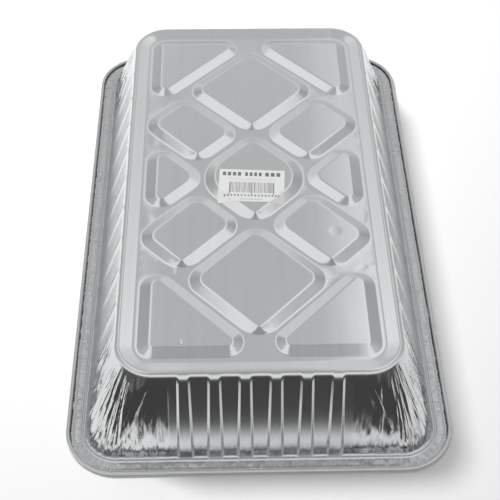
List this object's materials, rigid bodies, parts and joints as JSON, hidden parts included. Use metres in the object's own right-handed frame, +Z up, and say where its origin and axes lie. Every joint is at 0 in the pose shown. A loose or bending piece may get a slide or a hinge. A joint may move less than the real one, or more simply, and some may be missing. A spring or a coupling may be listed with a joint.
{
  "type": "foil roasting pan",
  "caption": "Deep rectangular foil roasting pan, upside down, with a pressed diamond bottom, ribbed sloping walls, a rolled rim and a small paper label.",
  "frame": {"origin": "on the surface that the rim rests on, under the middle of the pan", "axes": "+Y along the pan's length, +X across it, +Z up from the rim to the pan's bottom, which is the top face as it stands"},
  "size_m": [0.3248, 0.5268, 0.0791],
  "materials": {
    "foil": "bright rolled foil with faint lengthwise rolling lines, satin to near mirror",
    "label_paper": "matt white paper with plain grey print fields"
  },
  "bodies": {
    "root": {"pan": "foil", "label": "label_paper"}
  },
  "joints": []
}
